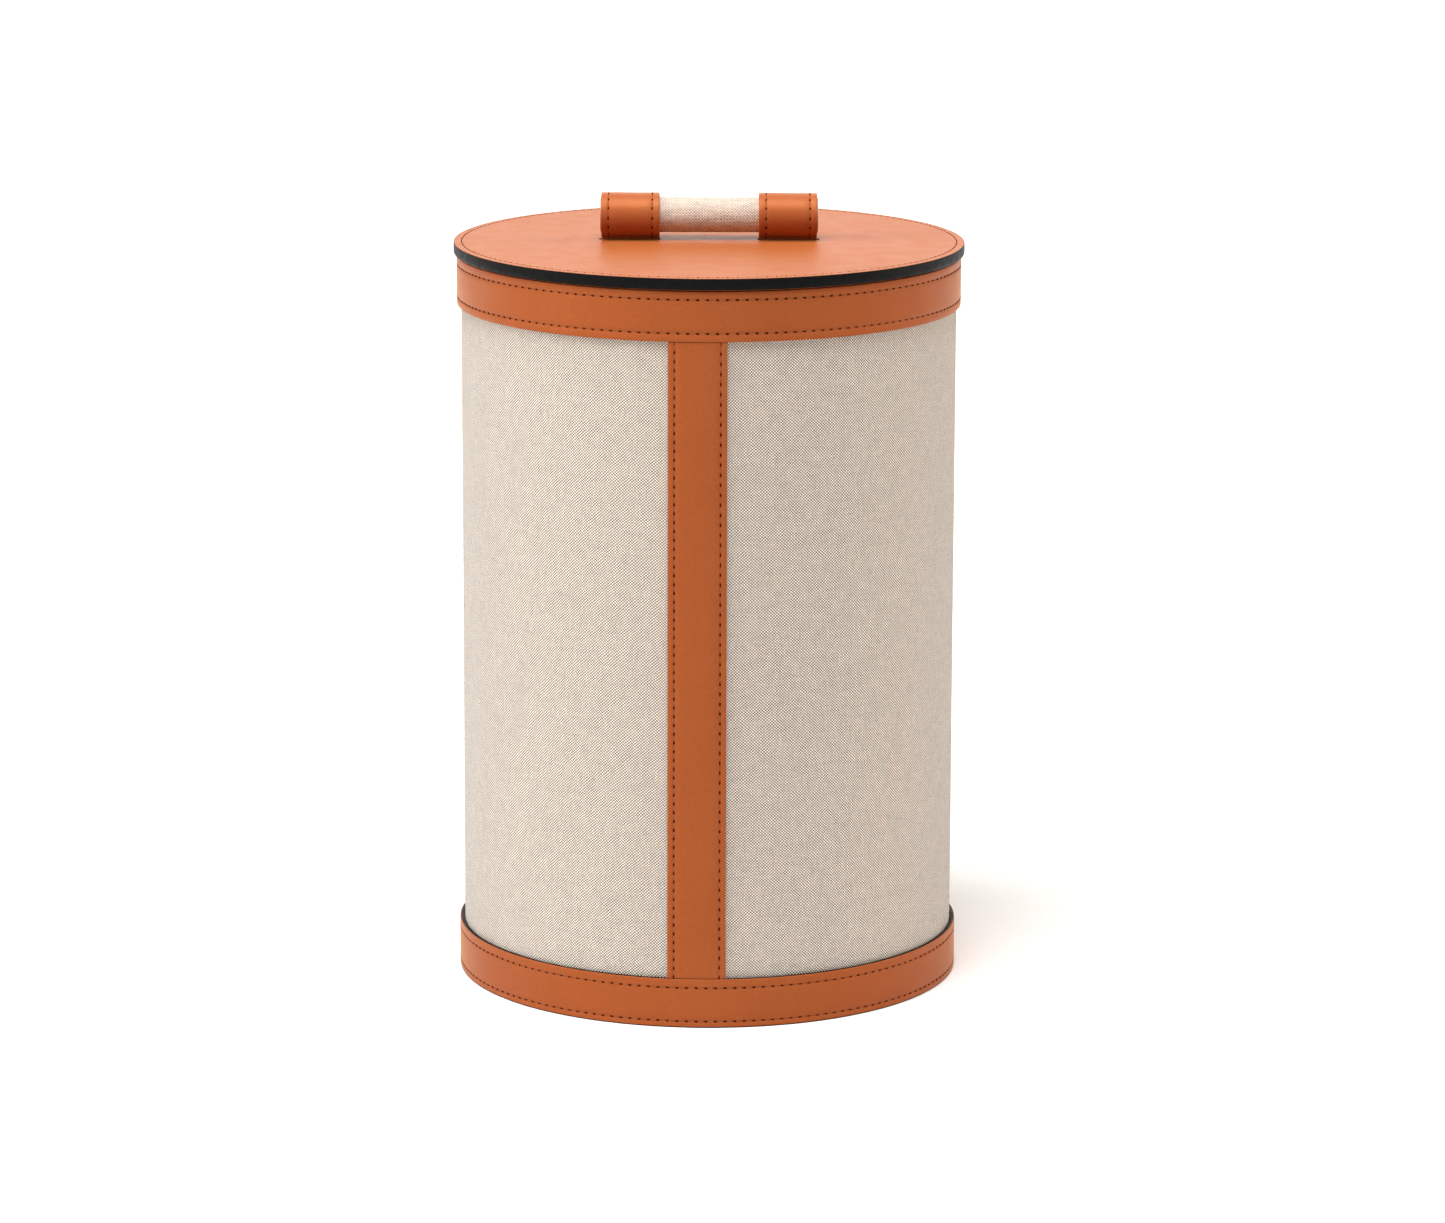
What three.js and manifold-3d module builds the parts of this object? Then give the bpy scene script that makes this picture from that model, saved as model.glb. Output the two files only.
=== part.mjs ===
// Round storage bin with a lift-off lid: a linen-covered board drum with a leather band at each end,
// a leather strap over the linen's joint, and a leather-faced lid. A linen-wrapped rod, held by two
// leather loops that pass through the lid, is the handle.
// Millimetres, +Z up. The origin is the middle of the underside, the front faces -Y, and the
// handle rod runs along X.
import * as THREE from "three";
import { mergeVertices } from "three/addons/utils/BufferGeometryUtils.js";
import Module from "manifold-3d";

const wasm = await Module();
wasm.setup();

// Drum
const drumRadius = 125; // over the linen
const rimHeight = 369.2; // floor to the rim that the lid rests on
const linenThickness = 0.7;
const wallBoardThickness = 3;
const liningThickness = 0.7; // cloth inside the drum and under the lid
const linenJointWidth = 1; // between the two ends of the linen, under the strap
const baseCoverThickness = 1.4;
const baseBoardThickness = 4;

// Leather on the drum
const topBandHeight = 25;
const topBandThickness = 1.6;
const bottomBandTop = 25; // floor to the band's upper edge
const bottomBandThickness = 2.3;
const bottomBandLift = 0.5; // the base cover, not the band, meets the floor
const strapWidth = 29;
const strapThickness = 1.6;
const strapBearing = -2.2; // degrees round from the front, towards +X
const rimFacingHeight = 30;
const rimFacingThickness = 1.2;

// Lid
const lidOverhang = 1.9; // past the top band
const lidLeatherThickness = 1.4;
const lidBoardThickness = 2.8;
const plugClearance = 1; // all round, between the plug and the mouth
const plugBoardThickness = 4;
const plugBandThickness = 1.2;

// Handle
const dowelRadius = 8;
const rodLinenThickness = 0.6;
const rodEndShow = 0.6; // how far the rod stands out of each loop
const loopSpacing = 50; // between the two loops
const loopWidth = 29.3;
const loopThickness = 1.2; // the strip that is seen
const loopLiningThickness = 0.8; // the strip behind it
const loopLift = 1.1; // lid to the underside of the loops
const handleSetBack = 4; // behind the lid's middle
const tailLength = 18; // of a loop's end, folded flat under the board

// Clearances
const glueGap = 0.2; // between two glued layers
const seatGap = 0.3; // between the lid and the rim
const foldGap = 0.3; // between the two legs of a loop
const slotSideGap = 0.3; // between a loop's legs and the long sides of its slot
const slotEndPlay = 1.2; // past the outer edge of a loop
const windowGap = 1; // between a loop's tails and the window round them

// Fineness of the round pieces, in facets to a turn
const drumFacets = 72;
const rodFacets = 48;

// Radii of the drum's layers, from the outside in
const boardOuter = drumRadius - linenThickness - glueGap;
const boardInner = boardOuter - wallBoardThickness;
const liningOuter = boardInner - glueGap;
const liningInner = liningOuter - liningThickness;
const facingOuter = liningInner - glueGap;
const mouthRadius = facingOuter - rimFacingThickness;
const leatherInner = drumRadius + glueGap;
const topBandOuter = leatherInner + topBandThickness;
const strapOuter = leatherInner + strapThickness;
const bottomBandOuter = leatherInner + bottomBandThickness;

// Heights in the drum, from the floor up
const wallBottom = baseCoverThickness + glueGap;
const baseBoardTop = wallBottom + baseBoardThickness;
const liningBottom = baseBoardTop + glueGap;
const topBandBottom = rimHeight - topBandHeight;

// Lid, from the rim up, and its plug, from the lid down
const lidRadius = topBandOuter + lidOverhang;
const lidBottom = rimHeight + seatGap;
const lidBoardBottom = lidBottom + lidLeatherThickness + glueGap;
const lidBoardTop = lidBoardBottom + lidBoardThickness;
const lidLeatherBottom = lidBoardTop + glueGap;
const lidTop = lidLeatherBottom + lidLeatherThickness;
const plugRadius = mouthRadius - plugClearance;
const plugBandInner = plugRadius - plugBandThickness;
const plugTop = lidBottom - glueGap;
const plugBoardBottom = plugTop - plugBoardThickness;
const plugLiningTop = plugBoardBottom - glueGap;
const plugBottom = plugLiningTop - liningThickness;

// Handle: radii round the rod's axis, and half widths of the necks that go down through the lid
const rodLinenInner = dowelRadius + glueGap;
const rodRadius = rodLinenInner + rodLinenThickness;
const loopLiningInner = rodRadius + glueGap;
const loopLiningOuter = loopLiningInner + loopLiningThickness;
const loopInner = loopLiningOuter + glueGap;
const loopOuter = loopInner + loopThickness;
const liningNeckInner = foldGap / 2;
const liningNeckOuter = liningNeckInner + loopLiningThickness;
const neckInner = liningNeckOuter + glueGap;
const neckOuter = neckInner + loopThickness;
const rodAxisHeight = lidTop + loopLift + loopOuter;
const rodLength = loopSpacing + 2 * loopWidth + 2 * rodEndShow;
const tailTop = lidBoardBottom - glueGap;

const leather = { color: 0xb9653a, roughness: 0.45, metalness: 0 };
const linen = { color: 0xd3c6b4, roughness: 0.95, metalness: 0 };
const lining = { color: 0xc9b79c, roughness: 0.95, metalness: 0 };
const board = { color: 0x8f7f68, roughness: 0.9, metalness: 0 };
const wood = { color: 0xc79f6b, roughness: 0.7, metalness: 0 };

const bin = new THREE.Group();

function addPiece(name, geometry, finish) {
  const mesh = new THREE.Mesh(geometry, new THREE.MeshStandardMaterial(finish));
  mesh.name = name;
  bin.add(mesh);
}

// Points on a circle about the origin between two bearings in degrees. Bearings count from the
// front strap, and every circle has its corners on the same bearings, so that layers stay parallel.
function arcPoints(radius, from, to) {
  const step = 360 / drumFacets;
  const bearings = [from];
  for (let k = Math.floor(from / step) + 1; k * step < to; k++) {
    bearings.push(k * step);
  }
  bearings.push(to);
  return bearings.map((bearing) => {
    const angle = THREE.MathUtils.degToRad(bearing + strapBearing - 90);
    return new THREE.Vector2(radius * Math.cos(angle), radius * Math.sin(angle));
  });
}

function circlePoints(radius) {
  return arcPoints(radius, 0, 360).slice(0, -1);
}

// A flat outline with holes, made solid between two heights.
function plate(outline, holes, bottom, top) {
  const shape = new THREE.Shape(outline);
  shape.holes = holes.map((points) => new THREE.Path(points));
  const geometry = new THREE.ExtrudeGeometry(shape, { depth: top - bottom, bevelEnabled: false });
  return geometry.translate(0, 0, bottom);
}

function disc(radius, bottom, top) {
  return plate(circlePoints(radius), [], bottom, top);
}

function solidOf(geometry) {
  const bare = geometry.clone();
  bare.deleteAttribute("normal");
  bare.deleteAttribute("uv");
  const merged = mergeVertices(bare);
  const vertProperties = merged.attributes.position.array;
  const triVerts = new Uint32Array(merged.index.array);
  return new wasm.Manifold(new wasm.Mesh({ numProp: 3, vertProperties, triVerts }));
}

function geometryOf(solid) {
  const { vertProperties, triVerts } = solid.getMesh();
  const geometry = new THREE.BufferGeometry();
  geometry.setAttribute("position", new THREE.BufferAttribute(vertProperties, 3));
  geometry.setIndex(new THREE.BufferAttribute(triVerts, 1));
  return geometry;
}

// A disc with openings cut right through it.
function piercedDisc(radius, bottom, top, openings) {
  const reach = top - bottom;
  const cutters = openings.map((outline) => plate(outline, [], bottom - reach, top + reach));
  const pierced = cutters.reduce(
    (left, cutter) => left.subtract(solidOf(cutter)),
    solidOf(disc(radius, bottom, top)),
  );
  return geometryOf(pierced);
}

function ring(inner, outer, bottom, top) {
  return plate(circlePoints(outer), [circlePoints(inner)], bottom, top);
}

// Part of a ring, between two bearings.
function strip(inner, outer, bottom, top, from, to) {
  const outline = [...arcPoints(outer, from, to), ...arcPoints(inner, from, to).reverse()];
  return plate(outline, [], bottom, top);
}

// Angle in degrees of an arc on the drum.
function arcAngle(length, radius) {
  return THREE.MathUtils.radToDeg(length / radius);
}

function rectangle(xLow, xHigh, yLow, yHigh) {
  return [
    new THREE.Vector2(xLow, yLow),
    new THREE.Vector2(xHigh, yLow),
    new THREE.Vector2(xHigh, yHigh),
    new THREE.Vector2(xLow, yHigh),
  ];
}

// Where each loop lies along the rod. The slot's spare length is at the loop's outer end.
const loopSides = [
  { name: "loop_left", side: -1 },
  { name: "loop_right", side: 1 },
];

function alongRod(side, innerGap, outerGap) {
  const inner = side * (loopSpacing / 2 - innerGap);
  const outer = side * (loopSpacing / 2 + loopWidth + outerGap);
  return [Math.min(inner, outer), Math.max(inner, outer)];
}

function lidHole(side, innerGap, outerGap, halfDepth) {
  const [xLow, xHigh] = alongRod(side, innerGap, outerGap);
  return rectangle(xLow, xHigh, handleSetBack - halfDepth, handleSetBack + halfDepth);
}

// Slots for the loops' necks, and the wider windows round their tails.
const slots = loopSides.map(({ side }) =>
  lidHole(side, slotSideGap, slotEndPlay, neckOuter + slotSideGap),
);
const windows = loopSides.map(({ side }) =>
  lidHole(side, windowGap, windowGap, neckOuter + tailLength + windowGap),
);

// A section in the plane across the rod, points counted from the rod's axis, made solid along X.
function acrossRod(outline, holes, xLow, xHigh) {
  const shape = new THREE.Shape(outline);
  shape.holes = holes.map((points) => new THREE.Path(points));
  const geometry = new THREE.ExtrudeGeometry(shape, { depth: xHigh - xLow, bevelEnabled: false });
  const yToX = new THREE.Vector3(0, 1, 0);
  const zToY = new THREE.Vector3(0, 0, 1);
  const depthToX = new THREE.Vector3(1, 0, 0);
  geometry.applyMatrix4(new THREE.Matrix4().makeBasis(yToX, zToY, depthToX));
  return geometry.translate(xLow, handleSetBack, rodAxisHeight);
}

function rodCircle(radius) {
  const points = [];
  for (let k = 0; k < rodFacets; k++) {
    const angle = (k * 2 * Math.PI) / rodFacets;
    points.push(new THREE.Vector2(radius * Math.cos(angle), radius * Math.sin(angle)));
  }
  return points;
}

// One face of a strip that goes up one side of the neck, round the rod and down the other side.
function loopFace(radius, neckHalfWidth, endHeight) {
  const end = endHeight - rodAxisHeight;
  const opening = Math.asin(neckHalfWidth / radius);
  const points = [new THREE.Vector2(-neckHalfWidth, end)];
  for (let k = 0; k <= rodFacets; k++) {
    const turned = opening + (k / rodFacets) * (2 * Math.PI - 2 * opening);
    points.push(new THREE.Vector2(-radius * Math.sin(turned), -radius * Math.cos(turned)));
  }
  points.push(new THREE.Vector2(neckHalfWidth, end));
  return points;
}

// The outer strip of a loop: its ends turn out under the board as two flat tails.
function loopOutline() {
  const tailBottom = tailTop - loopThickness;
  const tip = neckOuter + tailLength;
  return [
    new THREE.Vector2(-tip, tailTop - rodAxisHeight),
    ...loopFace(loopOuter, neckOuter, tailTop),
    new THREE.Vector2(tip, tailTop - rodAxisHeight),
    new THREE.Vector2(tip, tailBottom - rodAxisHeight),
    ...loopFace(loopInner, neckInner, tailBottom).reverse(),
    new THREE.Vector2(-tip, tailBottom - rodAxisHeight),
  ];
}

// The inner strip of a loop: its ends stop level with the underside of the board.
function loopLiningOutline() {
  return [
    ...loopFace(loopLiningOuter, liningNeckOuter, lidBoardBottom),
    ...loopFace(loopLiningInner, liningNeckInner, lidBoardBottom).reverse(),
  ];
}

function addDrum() {
  addPiece("base_cover", disc(drumRadius, 0, baseCoverThickness), leather);
  addPiece("base_board", disc(boardInner - glueGap, wallBottom, baseBoardTop), board);
  addPiece(
    "base_lining",
    disc(liningInner - glueGap, liningBottom, liningBottom + liningThickness),
    lining,
  );
  addPiece("wall_board", ring(boardInner, boardOuter, wallBottom, rimHeight), board);
  addPiece("wall_lining", ring(liningInner, liningOuter, liningBottom, rimHeight), lining);
  addPiece(
    "rim_facing",
    ring(mouthRadius, facingOuter, rimHeight - rimFacingHeight, rimHeight),
    leather,
  );
  const jointHalf = arcAngle(linenJointWidth / 2, drumRadius);
  addPiece(
    "linen_cover",
    strip(
      drumRadius - linenThickness,
      drumRadius,
      wallBottom,
      rimHeight,
      jointHalf,
      360 - jointHalf,
    ),
    linen,
  );
}

function addLeatherTrim() {
  addPiece("top_band", ring(leatherInner, topBandOuter, topBandBottom, rimHeight), leather);
  addPiece(
    "bottom_band",
    ring(leatherInner, bottomBandOuter, bottomBandLift, bottomBandTop),
    leather,
  );
  const strapHalf = arcAngle(strapWidth / 2, strapOuter);
  addPiece(
    "front_strap",
    strip(
      leatherInner,
      strapOuter,
      bottomBandTop + glueGap,
      topBandBottom - glueGap,
      -strapHalf,
      strapHalf,
    ),
    leather,
  );
}

function addLid() {
  addPiece(
    "lid_under_leather",
    piercedDisc(lidRadius, lidBottom, lidBottom + lidLeatherThickness, windows),
    leather,
  );
  addPiece("lid_board", piercedDisc(lidRadius, lidBoardBottom, lidBoardTop, slots), board);
  addPiece("lid_top_leather", piercedDisc(lidRadius, lidLeatherBottom, lidTop, slots), leather);
  addPiece(
    "plug_board",
    piercedDisc(plugBandInner - glueGap, plugBoardBottom, plugTop, windows),
    board,
  );
  addPiece("plug_band", ring(plugBandInner, plugRadius, plugBottom, plugTop), leather);
  addPiece("plug_lining", disc(plugBandInner - glueGap, plugBottom, plugLiningTop), lining);
}

function addHandle() {
  const rodEnd = rodLength / 2;
  addPiece("handle_dowel", acrossRod(rodCircle(dowelRadius), [], -rodEnd, rodEnd), wood);
  addPiece(
    "handle_linen",
    acrossRod(rodCircle(rodRadius), [rodCircle(rodLinenInner)], -rodEnd, rodEnd),
    linen,
  );
  for (const { name, side } of loopSides) {
    const [xLow, xHigh] = alongRod(side, 0, 0);
    addPiece(name, acrossRod(loopOutline(), [], xLow, xHigh), leather);
    addPiece(name + "_lining", acrossRod(loopLiningOutline(), [], xLow, xHigh), leather);
  }
}

addDrum();
addLeatherTrim();
addLid();
addHandle();

export default bin;
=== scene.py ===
import math
import bmesh
import bpy
import numpy as np
from mathutils import Matrix, Vector, geometry


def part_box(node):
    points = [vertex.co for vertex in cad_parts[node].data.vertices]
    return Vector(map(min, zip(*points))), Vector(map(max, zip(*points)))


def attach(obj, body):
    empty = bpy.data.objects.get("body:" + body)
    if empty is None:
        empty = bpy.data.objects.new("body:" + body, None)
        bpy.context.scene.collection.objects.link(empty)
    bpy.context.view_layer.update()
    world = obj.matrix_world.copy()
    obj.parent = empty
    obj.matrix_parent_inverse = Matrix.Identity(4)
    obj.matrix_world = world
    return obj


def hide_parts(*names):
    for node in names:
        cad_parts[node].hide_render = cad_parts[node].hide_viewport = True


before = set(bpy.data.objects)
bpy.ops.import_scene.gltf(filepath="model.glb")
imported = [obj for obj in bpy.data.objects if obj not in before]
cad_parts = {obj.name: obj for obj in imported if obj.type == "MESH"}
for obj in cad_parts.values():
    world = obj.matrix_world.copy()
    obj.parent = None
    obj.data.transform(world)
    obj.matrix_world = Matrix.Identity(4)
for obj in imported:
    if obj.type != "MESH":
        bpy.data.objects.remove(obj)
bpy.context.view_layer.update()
mm = 0.001


def newObject(name, data):
    thing = bpy.data.objects.new(name, data)
    bpy.context.scene.collection.objects.link(thing)
    return thing


# measures taken from the frame

def nodePoints(name):
    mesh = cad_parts[name].data
    flat = np.empty(len(mesh.vertices) * 3)
    mesh.vertices.foreach_get("co", flat)
    return flat.reshape(-1, 3)


def ringOf(name):
    # inner radius, outer radius, lowest and highest point of a piece that is round about Z
    points = nodePoints(name)
    radii = np.hypot(points[:, 0], points[:, 1])
    low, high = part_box(name)
    return {"inner": radii.min(), "outer": radii.max(), "low": low.z, "high": high.z}


def rodRingOf(name):
    points = nodePoints(name)
    low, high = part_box(name)
    radii = np.hypot(points[:, 1] - rod["y"], points[:, 2] - rod["z"])
    return {"inner": radii.min(), "outer": radii.max(), "low": low.x, "high": high.x}


dowelLow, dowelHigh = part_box("handle_dowel")
rod = {"y": (dowelLow.y + dowelHigh.y) / 2, "z": (dowelLow.z + dowelHigh.z) / 2}
strapLow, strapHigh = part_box("front_strap")
strapBearing = math.atan2(strapLow.x + strapHigh.x, -(strapLow.y + strapHigh.y))
lidTop, lidRadius = ringOf("lid_top_leather")["high"], ringOf("lid_top_leather")["outer"]


# camera, lamps, floor

cameraSettings = {
    "place": (0.01225, -2.81057, 0.78859),
    "tiltDown": 12.14,
    "turn": 0.10,
    "roll": 0.18,
    "lens": 140.1,
}


def makeCamera(settings):
    camera = newObject("camera", bpy.data.cameras.new("camera"))
    camera.data.lens = settings["lens"]
    camera.data.sensor_width = 36
    turn = Matrix.Rotation(math.radians(settings["turn"]), 4, "Z")
    tilt = Matrix.Rotation(math.radians(90 - settings["tiltDown"]), 4, "X")
    roll = Matrix.Rotation(math.radians(settings["roll"]), 4, "Z")
    camera.matrix_world = Matrix.Translation(settings["place"]) @ turn @ tilt @ roll
    bpy.context.scene.camera = camera


lampSettings = {
    "key": {"place": (-2.4, -0.65, 1.5), "aim": 0.2, "size": 1.3,
            "watts": 41, "colour": (1, 0.94, 0.87)},
    "top": {"place": (-0.2, -0.7, 2.3), "aim": 0.3, "size": 1.5,
            "watts": 70, "colour": (1, 1, 1)},
    "back": {"place": (0.1, 2.6, 1.5), "aim": 0.2, "size": 1.6,
             "watts": 9, "colour": (1, 0.98, 0.94)},
    "right": {"place": (2.3, 0.3, 1.2), "aim": 0.2, "size": 1.3,
              "watts": 27, "colour": (1, 0.84, 0.69)},
}
roomSettings = {"ambient": 0.15, "background": 1.0}
floorSettings = {"size": 14.0, "colour": (0.92, 0.915, 0.91), "lift": 0.1, "near": 0.35, "far": 1.1}


def makeLamps(settings):
    for name, lamp in settings.items():
        light = bpy.data.lights.new(name, "AREA")
        light.shape = "SQUARE"
        light.size = lamp["size"]
        light.energy = lamp["watts"]
        light.color = lamp["colour"]
        holder = newObject(name, light)
        holder.location = lamp["place"]
        direction = Vector((0, 0, lamp["aim"])) - Vector(lamp["place"])
        holder.rotation_euler = direction.to_track_quat("-Z", "Y").to_euler()


def addNode(tree, kind, inputs=None, **settings):
    # a socket given as an input is linked, anything else is set as the input's own value
    node = tree.nodes.new(kind)
    for key, value in settings.items():
        setattr(node, key, value)
    for key, value in (inputs or {}).items():
        if isinstance(value, bpy.types.NodeSocket):
            tree.links.new(value, node.inputs[key])
        else:
            node.inputs[key].default_value = value
    return node


def mathNode(tree, operation, first, second=0.0, third=0.0):
    inputs = {0: first, 1: second, 2: third}
    return addNode(tree, "ShaderNodeMath", inputs, operation=operation).outputs[0]


def vectorNode(tree, operation, *vectors, scale=1.0, out=0):
    inputs = {**dict(enumerate(vectors)), 3: scale}
    return addNode(tree, "ShaderNodeVectorMath", inputs, operation=operation).outputs[out]


def mixColour(tree, factor, first, second):
    node = addNode(tree, "ShaderNodeMix", data_type="RGBA")
    for socket, value in ((node.inputs[0], factor), (node.inputs[6], first), (node.inputs[7], second)):
        if isinstance(value, bpy.types.NodeSocket):
            tree.links.new(value, socket)
        else:
            socket.default_value = value if isinstance(value, float) else (*value, 1)
    return node.outputs[2]


def seenDirectly(tree):
    # 1 for rays that show the background: the camera's own, and those in a reflection or through glass
    path = addNode(tree, "ShaderNodeLightPath")
    camera = path.outputs["Is Camera Ray"]
    glossy = path.outputs["Is Glossy Ray"]
    through = path.outputs["Is Transmission Ray"]
    return mathNode(tree, "MAXIMUM", mathNode(tree, "MAXIMUM", camera, glossy), through)


def makeRoom(settings):
    world = bpy.data.worlds.new("room")
    world.use_nodes = True
    tree = world.node_tree
    tree.nodes.clear()
    gain = settings["background"] - settings["ambient"]
    strength = mathNode(tree, "MULTIPLY_ADD", seenDirectly(tree), gain, settings["ambient"])
    background = addNode(tree, "ShaderNodeBackground", {"Color": (1, 1, 1, 1), "Strength": strength})
    addNode(tree, "ShaderNodeOutputWorld", {"Surface": background.outputs[0]})
    bpy.context.scene.world = world


def makeFloor(settings):
    material = bpy.data.materials.new("paleFloor")
    material.use_nodes = True
    tree = material.node_tree
    tree.nodes.clear()
    paint = addNode(tree, "ShaderNodeBsdfDiffuse", {"Color": (*settings["colour"], 1)})
    place = addNode(tree, "ShaderNodeTexCoord").outputs["Object"]
    far = vectorNode(tree, "LENGTH", place, out=1)
    inputs = {"Value": far, "From Min": settings["near"], "From Max": settings["far"],
              "To Min": settings["lift"], "To Max": 1.0}
    rise = addNode(tree, "ShaderNodeMapRange", inputs, interpolation_type="SMOOTHSTEP").outputs[0]
    lift = mathNode(tree, "MULTIPLY", seenDirectly(tree), rise)
    glow = addNode(tree, "ShaderNodeEmission", {"Color": (1, 1, 1, 1), "Strength": lift})
    both = addNode(tree, "ShaderNodeAddShader", {0: paint.outputs[0], 1: glow.outputs[0]})
    addNode(tree, "ShaderNodeOutputMaterial", {"Surface": both.outputs[0]})
    half = settings["size"] / 2
    corners = [(-half, -half, 0), (half, -half, 0), (half, half, 0), (-half, half, 0)]
    mesh = bpy.data.meshes.new("floor")
    mesh.from_pydata(corners, [], [(0, 1, 2, 3)])
    mesh.materials.append(material)
    newObject("floor", mesh)


makeCamera(cameraSettings)
makeLamps(lampSettings)
makeRoom(roomSettings)
makeFloor(floorSettings)
bpy.context.scene.view_settings.view_transform = "Standard"
print("camera, lamps and floor ready")


# materials

def newMaterial(name, settings):
    material = bpy.data.materials.new(name)
    material.use_nodes = True
    tree = material.node_tree
    shader = tree.nodes["Principled BSDF"]
    shader.inputs["Specular IOR Level"].default_value = settings["gloss"]
    shader.inputs["Sheen Weight"].default_value = settings.get("sheen", 0.0)
    if "roughNoise" in settings:
        rough = spread(tree, objectNoise(tree, *settings["roughNoise"]), *settings["roughness"])
        tree.links.new(rough, shader.inputs["Roughness"])
    else:
        shader.inputs["Roughness"].default_value = settings["roughness"]
    return material, tree, shader


def objectNoise(tree, scale, detail, stretch=(1, 1, 1)):
    place = addNode(tree, "ShaderNodeTexCoord").outputs["Object"]
    mapped = addNode(tree, "ShaderNodeMapping", {"Vector": place, "Scale": stretch})
    inputs = {"Vector": mapped.outputs[0], "Scale": scale, "Detail": detail}
    return addNode(tree, "ShaderNodeTexNoise", inputs).outputs["Fac"]


def bump(tree, shader, height, depth, strength):
    inputs = {"Height": height, "Distance": depth, "Strength": strength}
    node = addNode(tree, "ShaderNodeBump", inputs)
    tree.links.new(node.outputs[0], shader.inputs["Normal"])


def spread(tree, value, low, high):
    # brings a noise, which lives round a half, to the range low to high
    inputs = {"Value": value, "From Min": 0.3, "From Max": 0.7, "To Min": low, "To Max": high}
    return addNode(tree, "ShaderNodeMapRange", inputs).outputs[0]


# noises are given as scale, detail and stretch, reliefs as depth and strength
leatherSettings = {
    "light": (0.360, 0.089, 0.0268),
    "dark": (0.344, 0.082, 0.0242),
    "mottle": (26, 4),
    "fibre": (700, 3),
    "fibreTone": (0.94, 1.05),
    # colour in the stitch grooves: partly the real darkening of pressed leather, partly painted shade
    # at the groove's bottom
    "pressedAndShade": (0.14, 0.026, 0.007),
    "gloss": 0.15,
    "glossTint": (1.0, 0.5, 0.22),
    "sheen": 0.24,
    "sheenTint": (1.0, 0.55, 0.13),
    "sheenRoughness": 0.35,
    "roughness": (0.40, 0.47),
    "roughNoise": (90, 3),
    "cellScale": 1500,
    "pores": (900, 4),
    "poreShare": 0.8,
    "relief": (0.00004, 0.5),
}
handledLeather = {**leatherSettings, "gloss": 0.55}  # polished by hands


def makeLeather(name, settings):
    material, tree, shader = newMaterial(name, settings)
    shader.inputs["Specular Tint"].default_value = (*settings["glossTint"], 1)
    shader.inputs["Sheen Tint"].default_value = (*settings["sheenTint"], 1)
    shader.inputs["Sheen Roughness"].default_value = settings["sheenRoughness"]
    mottle = spread(tree, objectNoise(tree, *settings["mottle"]), 0, 1)
    body = mixColour(tree, mottle, settings["dark"], settings["light"])
    fibre = spread(tree, objectNoise(tree, *settings["fibre"]), *settings["fibreTone"])
    toned = vectorNode(tree, "SCALE", body, scale=fibre)
    # the groove darkens towards its bottom: pressed leather, with painted shade where the groove is
    # deepest
    pressedAndShade = addNode(tree, "ShaderNodeAttribute", attribute_name="pressedAndShade").outputs["Fac"]
    colour = mixColour(tree, pressedAndShade, toned, settings["pressedAndShade"])
    tree.links.new(colour, shader.inputs["Base Color"])
    place = addNode(tree, "ShaderNodeTexCoord").outputs["Object"]
    cells = addNode(tree, "ShaderNodeTexVoronoi", {"Vector": place, "Scale": settings["cellScale"]})
    pores = objectNoise(tree, *settings["pores"])
    grain = mathNode(tree, "MULTIPLY_ADD", pores, settings["poreShare"], cells.outputs["Distance"])
    bump(tree, shader, grain, *settings["relief"])
    return material


edgePaintSettings = {
    "dark": (0.001, 0.001, 0.001),
    "light": (0.004, 0.0035, 0.0035),
    "mottle": (420, 4),
    "gloss": 0.07,
    "roughness": (0.4, 0.55),
    "roughNoise": (260, 3),
    "grain": (600, 4),
    "relief": (0.00015, 0.6),
}
threadSettings = {
    "dark": (0.24, 0.06, 0.017),
    "light": (0.52, 0.18, 0.06),
    "mottle": (2600, 2),
    "gloss": 0.1,
    "roughness": 0.7,
    "relief": (0.0001, 0.6),
}
# dark lenses of painted shade, standing in for the shadow inside each needle hole
holeShadeSettings = {
    "dark": (0.034, 0.002, 0.0005),
    "light": (0.075, 0.006, 0.002),
    "mottle": (900, 2),
    "gloss": 0.0,
    "roughness": 0.9,
}
boardSettings = {
    "dark": (0.20, 0.16, 0.115),
    "light": (0.30, 0.245, 0.18),
    "mottle": (500, 5, (1, 1, 0.35)),
    "gloss": 0.2,
    "roughness": 0.85,
    "relief": (0.0002, 0.5),
}


def makeMottled(name, settings):
    # two tones in a fine mottle; the relief follows the mottle, or a grain of its own
    material, tree, shader = newMaterial(name, settings)
    mottle = spread(tree, objectNoise(tree, *settings["mottle"]), 0, 1)
    colour = mixColour(tree, mottle, settings["dark"], settings["light"])
    tree.links.new(colour, shader.inputs["Base Color"])
    if "relief" in settings:
        grain = objectNoise(tree, *settings["grain"]) if "grain" in settings else mottle
        bump(tree, shader, grain, *settings["relief"])
    return material


linenSettings = {
    "warpPitch": 0.79 * mm,
    "weftPitch": 0.727 * mm,
    "warp": (0.965, 0.905, 0.835),
    "weft": (0.205, 0.143, 0.092),
    # gap is painted shade: the colour mixed in where the weave's relief is low, between the threads
    # and along their edges
    "gap": (0.08, 0.062, 0.046),
    "relief": (0.00018, 0.8),
    "slub": (0.09, 0.34),  # how far threads differ in tone, warp and weft
    "slubScale": (150.0, 110.0),
    "slubStart": (3.7, 91.3),
    "slubStep": 7.31,
    "strayScale": 110.0,
    "stray": 0.9 * mm,
    "roundness": 0.6,
    "dip": 0.45,  # how far a thread sinks away from the middle of a crossing
    "gapWidth": 0.28,
    "gloss": 0.25,
    "sheen": 0.25,
    "roughness": 0.85,
}
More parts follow.
